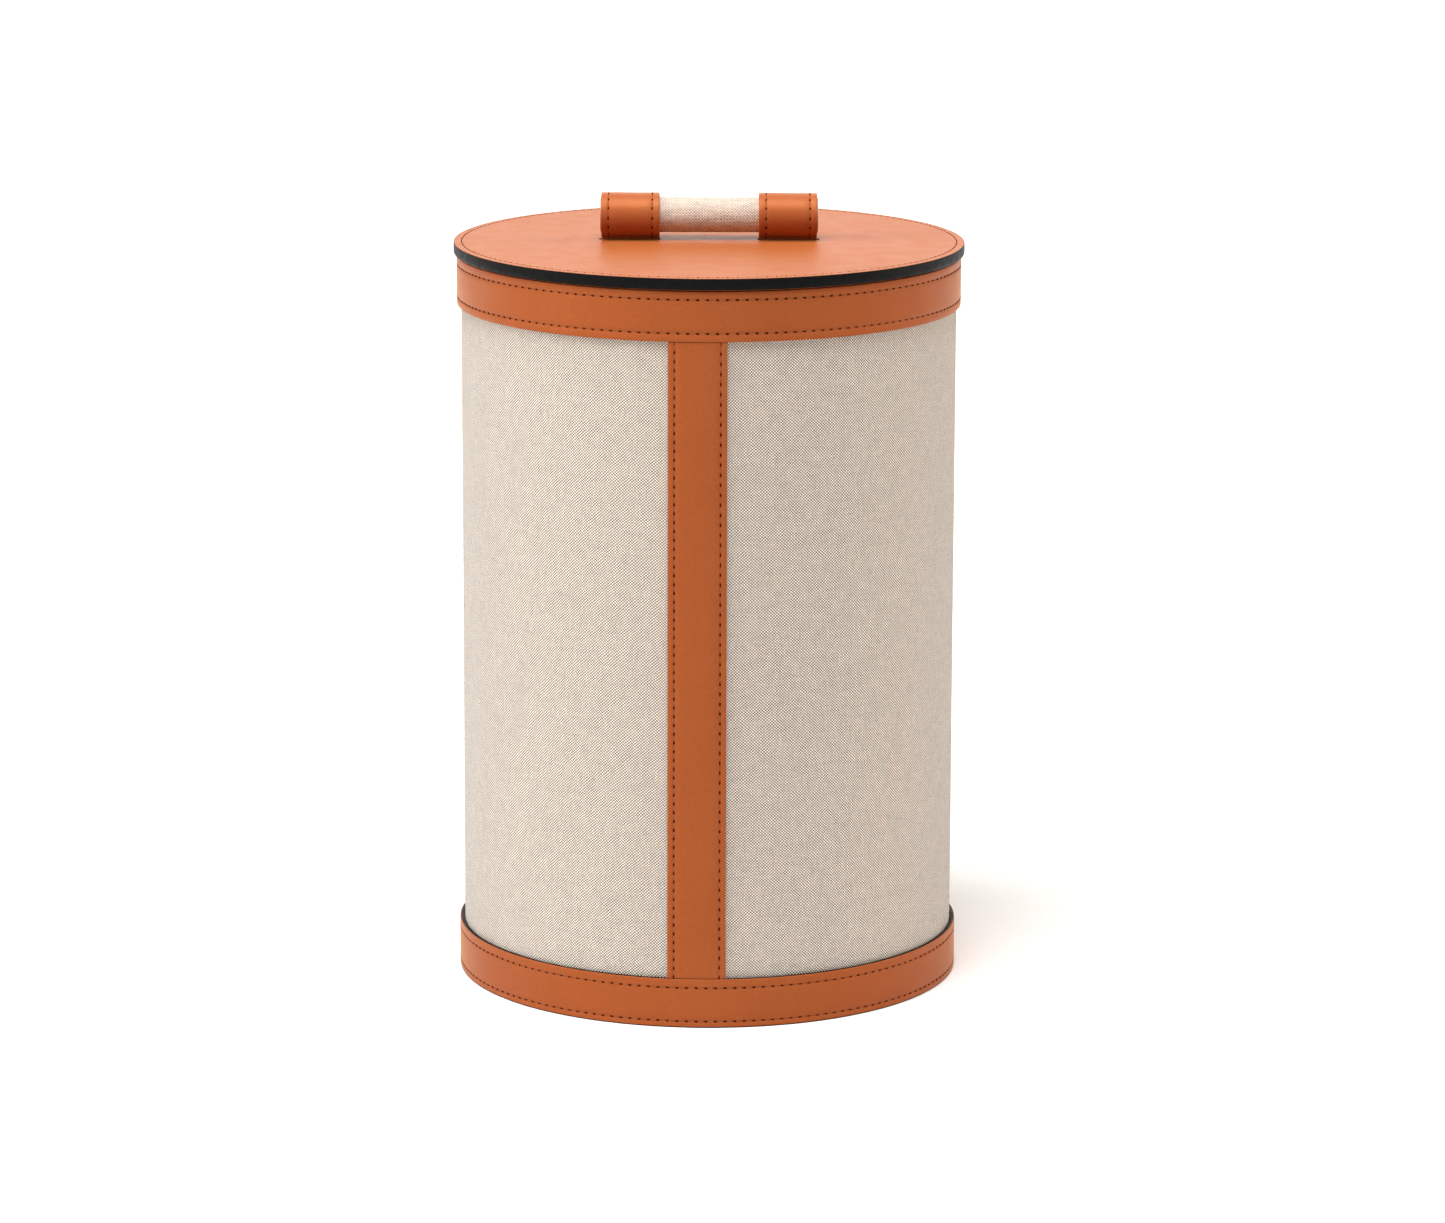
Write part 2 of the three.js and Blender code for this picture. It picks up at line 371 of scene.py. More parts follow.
# the cover's own linen with painted light: warp darker, weft and gaps lighter, standing in for the
# strong light on the rod
handleWeaveForRodLight = {
    **linenSettings,
    "warp": (0.81, 0.69, 0.60),
    "weft": (0.48, 0.38, 0.30),
    "gap": (0.28, 0.20, 0.15),
}
liningSettings = {
    **linenSettings,
    "warpPitch": 0.55 * mm,
    "weftPitch": 0.55 * mm,
    "warp": (0.70, 0.60, 0.47),
    "weft": (0.62, 0.52, 0.40),
    "gap": (0.22, 0.17, 0.12),
    "relief": (0.00012, 0.8),
    "slub": (0.08, 0.08),
}


def threadTone(tree, index, along, way, settings):
    # a thread's own tone, and slow changes along it where the yarn is thick or thin.
    # The way is 0 for warp and 1 for weft.
    cross = mathNode(tree, "MULTIPLY_ADD", index, settings["slubStep"], settings["slubStart"][way])
    run = mathNode(tree, "MULTIPLY", along, settings["slubScale"][way])
    place = addNode(tree, "ShaderNodeCombineXYZ", {"X": cross, "Y": run}).outputs[0]
    inputs = {"Vector": place, "Scale": 1.0, "Detail": 2.0}
    noise = addNode(tree, "ShaderNodeTexNoise", inputs, noise_dimensions="2D").outputs["Fac"]
    return spread(tree, noise, 1 - settings["slub"][way], 1 + settings["slub"][way])


def roundThread(tree, position):
    # 0 at a thread's edges and 1 along its middle
    share = mathNode(tree, "MULTIPLY", mathNode(tree, "FRACT", position), math.pi)
    return mathNode(tree, "SINE", share)


def crownOf(tree, own, crossed, settings):
    # a thread stands highest in the middle of where it passes over the other
    rise = mathNode(tree, "MULTIPLY_ADD", crossed, settings["dip"], 1 - settings["dip"])
    return mathNode(tree, "MULTIPLY", mathNode(tree, "POWER", own, settings["roundness"]), rise)


def makeWeave(name, settings):
    # plain weave on the UV map, which is in metres: warp runs up V, weft along U
    material, tree, shader = newMaterial(name, settings)
    uv = addNode(tree, "ShaderNodeUVMap", uv_map="cloth").outputs[0]
    wobble = addNode(tree, "ShaderNodeTexNoise",
                     {"Vector": uv, "Scale": settings["strayScale"], "Detail": 2.0})
    shift = vectorNode(tree, "SUBTRACT", wobble.outputs["Color"], (0.5, 0.5, 0.5))
    stray = settings["stray"]
    strayed = vectorNode(tree, "MULTIPLY_ADD", shift, (stray, stray, 0), uv)
    axes = addNode(tree, "ShaderNodeSeparateXYZ", {0: strayed}).outputs
    across = mathNode(tree, "DIVIDE", axes["X"], settings["warpPitch"])
    up = mathNode(tree, "DIVIDE", axes["Y"], settings["weftPitch"])
    warpIndex, weftIndex = mathNode(tree, "FLOOR", across), mathNode(tree, "FLOOR", up)
    weftOver = mathNode(tree, "FLOORED_MODULO", mathNode(tree, "ADD", warpIndex, weftIndex), 2.0)
    warpRound, weftRound = roundThread(tree, across), roundThread(tree, up)
    warpHigh = crownOf(tree, warpRound, weftRound, settings)
    weftHigh = crownOf(tree, weftRound, warpRound, settings)
    height = addNode(tree, "ShaderNodeMix", {0: weftOver, 2: warpHigh, 3: weftHigh}).outputs[0]
    warpTone = threadTone(tree, warpIndex, axes["Y"], 0, settings)
    weftTone = threadTone(tree, weftIndex, axes["X"], 1, settings)
    tone = addNode(tree, "ShaderNodeMix", {0: weftOver, 2: warpTone, 3: weftTone}).outputs[0]
    yarn = mixColour(tree, weftOver, settings["warp"], settings["weft"])
    # painted shade: the cloth goes towards the gap colour where the relief is low, between the threads
    # and along their edges
    clear = mathNode(tree, "POWER", height, settings["gapWidth"])
    colour = vectorNode(tree, "SCALE", mixColour(tree, clear, settings["gap"], yarn), scale=tone)
    tree.links.new(colour, shader.inputs["Base Color"])
    bump(tree, shader, mathNode(tree, "MULTIPLY", height, tone), *settings["relief"])
    return material


woodSettings = {
    "early": (0.62, 0.42, 0.24),
    "late": (0.42, 0.25, 0.12),
    "lateShare": 3.0,  # a higher one leaves less of each year ring dark
    "heart": (0.016, -0.022),
    "ringWidth": 1.5 * mm,
    "stray": 1.2 * mm,
    "strayNoise": (160, 3, (0.1, 1, 1)),
    "pores": (3200, 3, (0.04, 1, 1)),
    "poreTone": (0.76, 1.06),
    "gloss": 0.3,
    "roughness": 0.6,
    "relief": (0.0001, 0.4),
}


def makeDowelWood(settings):
    # year rings round a heart outside the rod, and fine pores, both running along it
    material, tree, shader = newMaterial("beech", settings)
    place = addNode(tree, "ShaderNodeTexCoord").outputs["Object"]
    heart = (0, rod["y"] + settings["heart"][0], rod["z"] + settings["heart"][1])
    offset = vectorNode(tree, "SUBTRACT", place, heart)
    radius = vectorNode(tree, "LENGTH", vectorNode(tree, "MULTIPLY", offset, (0, 1, 1)), out=1)
    wander = objectNoise(tree, *settings["strayNoise"])
    strayed = mathNode(tree, "MULTIPLY_ADD", wander, settings["stray"], radius)
    year = mathNode(tree, "FRACT", mathNode(tree, "DIVIDE", strayed, settings["ringWidth"]))
    late = mathNode(tree, "POWER", year, settings["lateShare"])
    body = mixColour(tree, late, settings["early"], settings["late"])
    pores = spread(tree, objectNoise(tree, *settings["pores"]), *settings["poreTone"])
    tree.links.new(vectorNode(tree, "SCALE", body, scale=pores), shader.inputs["Base Color"])
    bump(tree, shader, pores, *settings["relief"])
    return material


tanLeather = makeLeather("tanLeather", leatherSettings)
loopLeather = makeLeather("loopLeather", handledLeather)
edgePaint = makeMottled("edgePaint", edgePaintSettings)
sewingThread = makeMottled("sewingThread", threadSettings)
holeShade = makeMottled("holeShade", holeShadeSettings)
fibreboard = makeMottled("fibreboard", boardSettings)
linen = makeWeave("linen", linenSettings)
handleLinen = makeWeave("handleLinen", handleWeaveForRodLight)
cottonLining = makeWeave("cottonLining", liningSettings)
beech = makeDowelWood(woodSettings)
print("materials ready")


# mesh helpers

def ripple(first, second, settings):
    # a slow, shallow unevenness: three crossed waves with seeded directions and phases.
    # The wave is given as its height and length.
    height, wavelength = settings["wave"]
    draw = np.random.default_rng(settings["seed"])
    total = 0
    for _ in range(3):
        heading, phase = draw.uniform(0, 2 * math.pi, 2)
        length = wavelength * draw.uniform(0.7, 1.5)
        run = first * math.cos(heading) + second * math.sin(heading)
        total = total + np.sin(2 * math.pi * run / length + phase)
    return total * height / 3


def arc(centre, radius, start, end, count):
    # points on a circle, from one angle to another in degrees
    angles = np.radians(np.linspace(start, end, count))
    return [(centre[0] + radius * math.cos(a), centre[1] + radius * math.sin(a)) for a in angles]


def grooveAcross(middle, half, depth):
    # a pressed line: where, how deep and how much pressed
    steps = [(step, math.cos(step * math.pi / 2) ** 2) for step in (-1.0, -0.55, 0.0, 0.55, 1.0)]
    return [(middle + step * half, depth * press, press) for step, press in steps]


def stripSection(width, thickness, rounding, rows=(), groove=(0.0, 0.0), paint=(0, 0)):
    # the cut section of a leather strip, once round: along the face, down the far edge, back and up.
    # Each corner is (across, height, pressed, painted): painted says what the stretch after it is;
    # paint counts the painted stretches of each edge's rounding, from the cut.
    face = [(at, thickness, 0.0) for at in np.linspace(rounding, width - rounding, 9)
            if all(abs(at - row) > 1.6 * groove[0] for row in rows)]
    for row in rows:
        face += [(at, thickness - deep, press) for at, deep, press in grooveAcross(row, *groove)]
    corners = [(*point, False) for point in sorted(face)]
    far = arc((width - rounding, thickness - rounding), rounding, 90, 0, 5)[1:]
    corners += [(*point, 0.0, step > 3 - paint[1]) for step, point in enumerate(far)]
    back = min(rounding, thickness / 3) * 0.5
    corners += [(width, back, 0.0, paint[1] > 0), (width - back, 0.0, 0.0, False),
                (back, 0.0, 0.0, paint[0] > 0), (0.0, back, 0.0, paint[0] > 0)]
    near = arc((rounding, thickness - rounding), rounding, 180, 90, 5)[:-1]
    return corners + [(*point, 0.0, step < paint[0]) for step, point in enumerate(near)]


def plainSection(top):
    # a section with no groove or paint: its upper side as given, closed by a straight underside
    return [(*point, 0.0, False) for point in top + [(top[-1][0], 0.0), (top[0][0], 0.0)]]


def clothSection(width, thickness):
    # steps close enough to follow the cloth's unevenness
    return plainSection([(at, thickness) for at in np.linspace(0, width, 36)])


smoothBelow = math.radians(40)


def finishMesh(name, mesh, materials):
    for material in materials:
        mesh.materials.append(material)
    turnOutwards(mesh)
    mesh.shade_smooth()
    mesh.set_sharp_from_angle(angle=smoothBelow)
    return newObject(name, mesh)


def finishShell(name, shell, materials):
    bmesh.ops.recalc_face_normals(shell, faces=shell.faces)
    mesh = bpy.data.meshes.new(name)
    shell.to_mesh(mesh)
    shell.free()
    return finishMesh(name, mesh, materials)


def bridge(shell, first, second):
    # a band of faces between two rings of as many corners
    for i in range(len(first)):
        j = (i + 1) % len(first)
        shell.faces.new((first[i], first[j], second[j], second[i]))


def turnOutwards(mesh):
    shell = bmesh.new()
    shell.from_mesh(mesh)
    if shell.calc_volume(signed=True) < 0:
        bmesh.ops.reverse_faces(shell, faces=shell.faces)
    shell.to_mesh(mesh)
    shell.free()


def sweep(name, section, along, place, materials, closed, uvOf=None):
    # carries a section along a path: place(along, across, height) gives the points
    across, height, pressedAndShade, painted = (np.array(column) for column in zip(*section))
    count, turns = len(section), len(along)
    alongGrid, acrossGrid = np.meshgrid(along, across, indexing="ij")
    heightGrid = np.broadcast_to(height, alongGrid.shape)
    points = np.stack(place(alongGrid, acrossGrid, heightGrid), -1).reshape(-1, 3)
    faces, surfaces = [], []
    for i in range(turns if closed else turns - 1):
        j = (i + 1) % turns
        for k in range(count):
            m = (k + 1) % count
            faces.append((i * count + k, i * count + m, j * count + m, j * count + k))
            surfaces.append(int(painted[k]))
    if not closed:
        faces += [tuple(range(count))[::-1], tuple(range((turns - 1) * count, turns * count))]
        surfaces += [0, 0]
    mesh = bpy.data.meshes.new(name)
    mesh.from_pydata([tuple(point) for point in points], [], faces)
    mesh.polygons.foreach_set("material_index", surfaces)
    layer = mesh.attributes.new("pressedAndShade", "FLOAT", "POINT")
    layer.data.foreach_set("value", np.tile(pressedAndShade, turns).astype(np.float32))
    if uvOf:
        layer = mesh.uv_layers.new(name="cloth")
        for loop in mesh.loops:
            i, k = divmod(loop.vertex_index, count)
            layer.data[loop.index].uv = uvOf(along[i], across[k])
    mesh.update()
    return finishMesh(name, mesh, materials)


def onDrum(radius, bearing, height):
    # bearings run round from the front, towards +X
    return radius * np.sin(bearing), -radius * np.cos(bearing), height


def ringPlace(radius, bottom, settings, side=1):
    # a strip laid round the drum: along is a bearing, across goes up, height goes outwards,
    # or inwards where side is -1
    def place(bearing, across, height):
        uneven = ripple(bearing * radius, across, settings) * (height > 0)
        return onDrum(radius + side * (height + uneven), bearing, bottom + across)
    return place


roundSteps = 360


def fullTurn(steps=roundSteps):
    return strapBearing + np.arange(steps) * (2 * math.pi / steps)


def turnFromBack(gap, steps=roundSteps):
    # once round from the back, less a gap at each end
    return strapBearing + math.pi + gap + np.linspace(0, 2 * (math.pi - gap), steps + 1)


def dress(piece, body, slot, *nodes):
    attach(piece, body)
    if nodes:
        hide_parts(*nodes)
    return piece


# stitches: one tree lays thread along a path, another dark lenses in the needle holes, painted shade
# for the shadow inside each

stitchSettings = {
    "threadRadius": 0.24 * mm,
    "threadRise": 0.12 * mm,
    "threadSink": 0.35 * mm,
    "gapShare": 0.3,
    "holeLong": 1.45 * mm,
    "holeWide": 1.2 * mm,
    "holeDeep": 0.42 * mm,
    "holeRise": 0.17 * mm,
    "lean": 0.07,
}


stitchInputs = {
    "count": ("NodeSocketInt", 10),
    "pitch": ("NodeSocketFloat", 4.8 * mm),
    "shift": ("NodeSocketFloat", 0.5),
    "lean": ("NodeSocketFloat", 0.0),
    "long": ("NodeSocketFloat", 4 * mm),
    "wide": ("NodeSocketFloat", 0.5 * mm),
    "deep": ("NodeSocketFloat", 0.3 * mm),
    "rise": ("NodeSocketFloat", 0.1 * mm),
    "seed": ("NodeSocketInt", 1),
    "material": ("NodeSocketMaterial", None),
}


def treeInput(group, name, kind, value):
    socket = group.interface.new_socket(name=name, in_out="INPUT", socket_type=kind)
    if value is not None:
        socket.default_value = value
    return socket.identifier


def socketIn(sockets, name="Value"):
    return [socket for socket in sockets if socket.name == name and socket.enabled][0]


def stitchTree(name, element):
    # points every pitch along the path, each turned to the surface's normal and the path's tangent
    group = bpy.data.node_groups.new(name, "GeometryNodeTree")
    for way in ("OUTPUT", "INPUT"):
        group.interface.new_socket(name="Geometry", in_out=way, socket_type="NodeSocketGeometry")
    inputs = {key: treeInput(group, key.capitalize(), *kind) for key, kind in stitchInputs.items()}
    source = addNode(group, "NodeGroupInput").outputs
    given = {key: source[key.capitalize()] for key in stitchInputs}
    curve = addNode(group, "GeometryNodeMeshToCurve", {"Mesh": source["Geometry"]}).outputs[0]
    points = addNode(group, "GeometryNodePoints", {"Count": given["count"]}).outputs[0]
    index = addNode(group, "GeometryNodeInputIndex").outputs[0]
    place = mathNode(group, "MULTIPLY", mathNode(group, "ADD", index, given["shift"]), given["pitch"])
    normal = addNode(group, "GeometryNodeInputNamedAttribute", {"Name": "surfaceNormal"},
                     data_type="FLOAT_VECTOR").outputs[0]
    sampled = addNode(group, "GeometryNodeSampleCurve", {"Curves": curve, "Length": place},
                      data_type="FLOAT_VECTOR", mode="LENGTH")
    group.links.new(normal, socketIn(sampled.inputs))
    up, tangent = socketIn(sampled.outputs), sampled.outputs["Tangent"]
    placed = addNode(group, "GeometryNodeSetPosition",
                     {"Geometry": points, "Position": sampled.outputs["Position"]}).outputs[0]
    chance = addNode(group, "FunctionNodeRandomValue", data_type="FLOAT")
    group.links.new(mathNode(group, "MULTIPLY", given["lean"], -1.0), socketIn(chance.inputs, "Min"))
    group.links.new(given["lean"], socketIn(chance.inputs, "Max"))
    group.links.new(given["seed"], socketIn(chance.inputs, "Seed"))
    sideways = vectorNode(group, "CROSS_PRODUCT", up, tangent)
    leaning = vectorNode(group, "SCALE", sideways, scale=socketIn(chance.outputs))
    heading = vectorNode(group, "ADD", tangent, leaning)
    turn = addNode(group, "FunctionNodeAxesToRotation", {0: up, 1: heading},
                   primary_axis="Z", secondary_axis="X").outputs[0]
    laid = {"Points": placed, "Instance": element(group, given), "Rotation": turn}
    instances = addNode(group, "GeometryNodeInstanceOnPoints", laid).outputs[0]
    real = addNode(group, "GeometryNodeRealizeInstances", {"Geometry": instances}).outputs[0]
    smooth = addNode(group, "GeometryNodeSetShadeSmooth", {"Geometry": real}).outputs[0]
    coloured = addNode(group, "GeometryNodeSetMaterial",
                       {"Geometry": smooth, "Material": given["material"]}).outputs[0]
    addNode(group, "NodeGroupOutput", {0: coloured})
    return group, inputs


def threadElement(group, given):
    # a short bowed length of thread whose ends dive into the leather
    half = mathNode(group, "MULTIPLY", given["long"], 0.5)
    below = mathNode(group, "MULTIPLY", given["deep"], -1.0)
    crest = mathNode(group, "MULTIPLY_ADD", given["rise"], 2.0, given["deep"])
    corners = {"Start": {0: mathNode(group, "MULTIPLY", half, -1.0), 2: below},
               "Middle": {2: crest},
               "End": {0: half, 2: below}}
    ends = {key: addNode(group, "ShaderNodeCombineXYZ", at).outputs[0] for key, at in corners.items()}
    bow = addNode(group, "GeometryNodeCurveQuadraticBezier", {"Resolution": 6, **ends}).outputs[0]
    thick = mathNode(group, "MULTIPLY", given["wide"], 0.5)
    circle = addNode(group, "GeometryNodeCurvePrimitiveCircle", {"Resolution": 6, "Radius": thick})
    return addNode(group, "GeometryNodeCurveToMesh",
                   {"Curve": bow, "Profile Curve": circle.outputs[0], "Fill Caps": True}).outputs[0]


def holeShadeElement(group, given):
    # a small dark lens, sunk in the pressed line: painted shade for the shadow inside a needle hole
    ball = addNode(group, "GeometryNodeMeshUVSphere", {"Segments": 10, "Rings": 4, "Radius": 1.0})
    sizes = {0: given["long"], 1: given["wide"], 2: given["deep"]}
    size = addNode(group, "ShaderNodeCombineXYZ", sizes).outputs[0]
    half = vectorNode(group, "SCALE", size, scale=0.5)
    lens = addNode(group, "GeometryNodeTransform", {"Geometry": ball.outputs[0], "Scale": half})
    return lens.outputs[0]


threadTree, threadInputs = stitchTree("threadRow", threadElement)
holeShadeTree, holeShadeInputs = stitchTree("holeShadeRow", holeShadeElement)


def layRow(name, path, normals, closed, pitch, material, tree, inputs, values):
    # path and normals are points in metres; the row is made real before it rides anywhere
    mesh = bpy.data.meshes.new(name)
    last = len(path) if closed else len(path) - 1
    mesh.from_pydata([tuple(p) for p in path], [(i, (i + 1) % len(path)) for i in range(last)], [])
    layer = mesh.attributes.new("surfaceNormal", "FLOAT_VECTOR", "POINT")
    layer.data.foreach_set("vector", np.asarray(normals, dtype=np.float32).ravel())
    line = newObject(name, mesh)
    ends = np.roll(path, -1, axis=0) - path
    length = float(np.linalg.norm(ends[:last], axis=1).sum())
    count = max(1, round(length / pitch) if closed else int(length / pitch))
    spacing = length / count
    modifier = line.modifiers.new("stitches", "NODES")
    modifier.node_group = tree
    for key, value in {**values, "count": count, "pitch": spacing, "material": material}.items():
        modifier[inputs[key]] = value
    evaluated = line.evaluated_get(bpy.context.evaluated_depsgraph_get())
    real = bpy.data.meshes.new_from_object(evaluated)
    line.modifiers.clear()
    line.data = real
    real.name = name
    return line


def stitchRow(name, path, normals, closed, pitch, seed, size=1.0):
    s = stitchSettings
    thread = {"shift": 0.5, "lean": s["lean"], "long": pitch * (1 - s["gapShare"]),
              "wide": 2 * s["threadRadius"] * size, "deep": s["threadSink"], "rise": s["threadRise"],
              "seed": seed}
    hole = {"shift": 0.0, "lean": s["lean"], "long": s["holeLong"] * size,
            "wide": s["holeWide"] * size, "deep": s["holeDeep"], "rise": 0.0, "seed": seed + 1}
    return (layRow(name + "Thread", path, normals, closed, pitch, sewingThread,
                   threadTree, threadInputs, thread),
            layRow(name + "HoleShade", path + normals * s["holeRise"], normals, closed, pitch, holeShade,
                   holeShadeTree, holeShadeInputs, hole))


def joinRows(name, rows, body):
    # all the rows on one piece become one piece of thread and one of the holes' painted shade
    for kind, material, parts in zip(("Thread", "HoleShade"), (sewingThread, holeShade), zip(*rows)):
        shell = bmesh.new()
        for part in parts:
            shell.from_mesh(part.data)
        mesh = bpy.data.meshes.new(name + kind)
        shell.to_mesh(mesh)
        shell.free()
        mesh.materials.append(material)
        mesh.shade_smooth()
        for part in parts:
            bpy.data.objects.remove(part)
        dress(newObject(name + kind, mesh), body, "thread")


def roundRow(name, radius, height, pitch, seed, inwards=False, upwards=False, size=1.0):
    # a row round the drum, facing out or in, or round the lid, facing up
    bearings = fullTurn()
    level = np.zeros(roundSteps)
    path = np.stack(onDrum(radius, bearings, level + height), -1)
    normals = np.stack(onDrum(-1 if inwards else 1, bearings, level), -1)
    if upwards:
        normals = np.tile((0.0, 0.0, 1.0), (roundSteps, 1))
    return stitchRow(name, path, normals, True, pitch, seed, size)


def roundRows(name, radius, bottom, settings, inwards=False):
    rows = []
    for number, row in enumerate(settings["rows"]):
        seed = settings["seed"] + 2 * number
        rows.append(roundRow(name + "Row", radius, bottom + row, settings["pitch"], seed, inwards))
    joinRows(name, rows, "bin")


# discs of sheet, with slots cut through them and a row pressed in near the rim

slotEdges = {"corner": 1.1 * mm, "lip": 0.3 * mm}


def slotOutline(slot, grow):
    # a rectangle with rounded corners, counter-clockwise; slot is (lowX, highX, lowY, highY)
    lowX, highX, lowY, highY = slot[0] - grow, slot[1] + grow, slot[2] - grow, slot[3] + grow
    corner = slotEdges["corner"] + grow
    centres = ((highX - corner, highY - corner), (lowX + corner, highY - corner),
               (lowX + corner, lowY + corner), (highX - corner, lowY + corner))
    return [point for quarter, centre in enumerate(centres)
            for point in arc(centre, corner, 90 * quarter, 90 * (quarter + 1), 5)]


def flatWeb(outer, holes, grid):
    # triangles that fill a round outline and leave the holes open
    points, edges = list(outer), [(i, (i + 1) % len(outer)) for i in range(len(outer))]
    reach = math.hypot(*outer[0])
    for hole in holes:
        first = len(points)
        points += hole
        edges += [(first + i, first + (i + 1) % len(hole)) for i in range(len(hole))]
    boxes = [(min(p[0] for p in hole), max(p[0] for p in hole), min(p[1] for p in hole),
              max(p[1] for p in hole)) for hole in holes]
    steps = np.arange(-reach, reach, grid)
    for row, y in enumerate(steps):
        for x in steps + (row % 2) * grid / 2:
            inside = math.hypot(x, y) < reach - 0.6 * grid
            near = any(b[0] - grid / 2 < x < b[1] + grid / 2 and b[2] - grid / 2 < y < b[3] + grid / 2
                       for b in boxes)
            if inside and not near:
                points.append((x, y))
    web = geometry.delaunay_2d_cdt([Vector(p) for p in points], edges, [], 0, 1e-7)
    flat, faces = [tuple(p) for p in web[0]], []
    for face in web[2]:
        x = sum(flat[i][0] for i in face) / 3
        y = sum(flat[i][1] for i in face) / 3
        if not any(b[0] < x < b[1] and b[2] < y < b[3] and insideOutline(x, y, hole)
                   for b, hole in zip(boxes, holes)):
            faces.append(tuple(face))
    return flat, faces


def insideOutline(x, y, outline):
    return all((b[0] - a[0]) * (y - a[1]) - (b[1] - a[1]) * (x - a[0]) > 0
               for a, b in zip(outline, outline[1:] + outline[:1]))


def discSheet(name, settings, materials, slots=()):
    settings = {"steps": 288, "grid": 6 * mm, "row": None, **settings}
    radius, low, high = settings["radius"], settings["low"], settings["high"]
    soft, row = settings["rounding"], settings["row"]
    # the rim: radius, height and pressed, from the flat top round to the flat underside
    rim = [(radius - 3 * soft, high, 0.0)]
    if row:
        rim = [(row - 2.4 * settings["groove"][0], high, 0.0)]
        rim += [(at, high - deep, settings["pressedAndShade"] * press)
                for at, deep, press in grooveAcross(row, *settings["groove"])]
    under = min(soft, (high - low) / 3)
    edge = arc((radius - soft, high - soft), soft, 90, 0, 5)
    edge += arc((radius - under, low + under), under, 0, -90, 4)
    rim += [(*point, 0.0) for point in edge]
    bearings = np.arange(settings["steps"]) * (2 * math.pi / settings["steps"])
    circle = np.stack([np.cos(bearings), np.sin(bearings)], -1)
    shell = bmesh.new()
    press = shell.verts.layers.float.new("pressedAndShade")
    rings = []
    for ringRadius, height, value in rim:
        rings.append([shell.verts.new((*point, height)) for point in ringRadius * circle])
        for vertex in rings[-1]:
            vertex[press] = value
    for upper, lower in zip(rings, rings[1:]):
        bridge(shell, lower, upper)
    lip = slotEdges["lip"]
    for height, ringRadius, grow, turn in ((high, rim[0][0], lip, 1), (low, rim[-1][0], 0.0, -1)):
        outlines = [slotOutline(slot, grow) for slot in slots]
        outer = [tuple(point) for point in ringRadius * circle]
        flat, faces = flatWeb(outer, outlines, settings["grid"])
        made = [shell.verts.new((x, y, height)) for x, y in flat]
        for face in faces:
            shell.faces.new([made[i] for i in face][::turn])
    for slot in slots:
        levels = arc((lip, high - lip), lip, 90, 180, 4) + [(0.0, low)]
        walls = [[shell.verts.new((x, y, height)) for x, y in slotOutline(slot, grow)]
                 for grow, height in levels]
        for upper, lower in zip(walls, walls[1:]):
            bridge(shell, upper, lower)
    bmesh.ops.remove_doubles(shell, verts=shell.verts, dist=0.002 * mm)
    for vertex in shell.verts:
        x, y, z = vertex.co
        if "wave" in settings and z > (low + high) / 2:
            fade = 1 - min(1.0, math.hypot(x, y) / radius) ** 6
            vertex.co.z += float(ripple(x, y, settings)) * fade
    piece = finishShell(name, shell, materials)
    uv = piece.data.uv_layers.new(name="cloth")
    for loop in piece.data.loops:
        uv.data[loop.index].uv = piece.data.vertices[loop.vertex_index].co.xy
    return piece


# linen, wrapped once round the board with its two edges meeting under the strap
linenWrap = {
    "skewFar": 0.7,
    "skewNear": 4.6,
    "skewFade": 157 * mm,
    "steps": 420,
    "topTrim": 0.3 * mm,
    "wave": (0.05 * mm, 90 * mm),
    "seed": 11,
}


def wrapLinen(settings):
    ring = ringOf("linen_cover")
    points = nodePoints("linen_cover")
    bearings = np.arctan2(points[:, 0], -points[:, 1]) - strapBearing
    bearings = (bearings + math.pi) % (2 * math.pi) - math.pi
    gap = min(bearings[bearings > 0].min(), -bearings[bearings < 0].max())
    start, turn = strapBearing + gap, 2 * (math.pi - gap)
    radius, thickness = ring["inner"], ring["outer"] - ring["inner"]
    width = ring["high"] - ring["low"] - settings["topTrim"]
    length = turn * ring["outer"]
    extra = math.tan(math.radians(settings["skewNear"])) - math.tan(math.radians(settings["skewFar"]))

    def clothAt(bearing, across):
        # the weft runs downhill, more and more steeply towards the end of the wrap
        u = (bearing - start) * ring["outer"]
        left = (length - u) / settings["skewFade"]
        v = across + u * math.tan(math.radians(settings["skewFar"]))
        return u, v + extra * settings["skewFade"] * math.exp(-left)

    along = start + np.linspace(0, turn, settings["steps"])
    place = ringPlace(radius, ring["low"], settings)
    piece = sweep("linenCover", clothSection(width, thickness), along, place, [linen], False, clothAt)
    dress(piece, "bin", "linen", "linen_cover")
    print("linen wrapped: %.1f by %.1f mm" % (length / mm, width / mm))


wrapLinen(linenWrap)


# leather bands round the top and the bottom, and the strap between them
bandGroove = (0.5 * mm, 0.28 * mm)
bandJoint = 0.12 * mm  # half the gap at the back
bandSteps = 480
topBand = {
    "node": "top_band",
    "rows": (4.2 * mm, 20.7 * mm),
    "pitch": 4.8 * mm,
    "rounding": 0.45 * mm,
    "paint": (0, 0),
    "wave": (0.10 * mm, 90 * mm),
    "trim": 0.15 * mm,
    "drop": 0.0,
    "proud": 0.4 * mm,
    "seed": 21,
}
bottomBand = {
    "node": "bottom_band",
    "rows": (3.35 * mm, 20.45 * mm),
    "pitch": 4.8 * mm,
    "rounding": 0.55 * mm,
    # the whole lower rounding is dark: partly edge paint, partly painted shade for the contact shadow
    # where the band meets the floor
    "paint": (4, 2),
    "wave": (0.10 * mm, 90 * mm),
    "trim": 0.0,
    "drop": 0.45 * mm,
    "proud": 0.0,
    "seed": 31,
}


